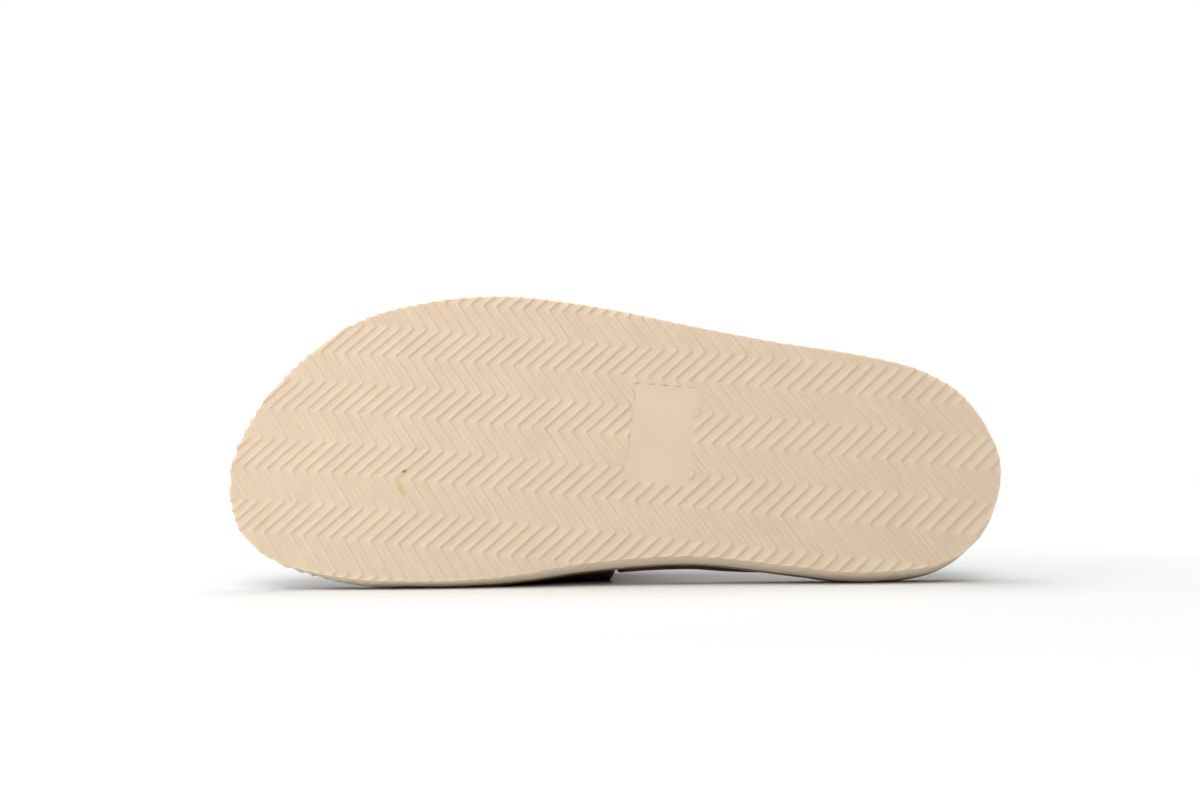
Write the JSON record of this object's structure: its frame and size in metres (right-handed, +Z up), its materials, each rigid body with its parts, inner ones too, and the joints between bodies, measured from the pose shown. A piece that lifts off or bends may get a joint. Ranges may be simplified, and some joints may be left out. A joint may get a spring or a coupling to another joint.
{
  "type": "slide sandal",
  "caption": "Left slide sandal lying on its inner side: herringbone rubber sole, thin leather midsole, suede footbed and a broad leather strap.",
  "frame": {"origin": "centre of the bounding box, at the floor: the sandal lies on its inner side, on the sole's edge at ball and heel and on the strap's back edge", "axes": "+X along the sole from toe to heel, +Z up from the floor, +Y away from the tread, towards the strap"},
  "size_m": [0.285, 0.0882, 0.1115],
  "materials": {
    "outsole_rubber": "matt cream rubber with a herringbone tread",
    "midsole_leather": "tan-brown leather with a waxed edge",
    "footbed_suede": "dark red-brown suede with a fine nap",
    "strap_leather": "near-black brown leather, fine grain, low sheen"
  },
  "bodies": {
    "root": {"outsole": "outsole_rubber", "midsole": "midsole_leather", "footbed": "footbed_suede", "strap": "strap_leather"}
  },
  "joints": []
}
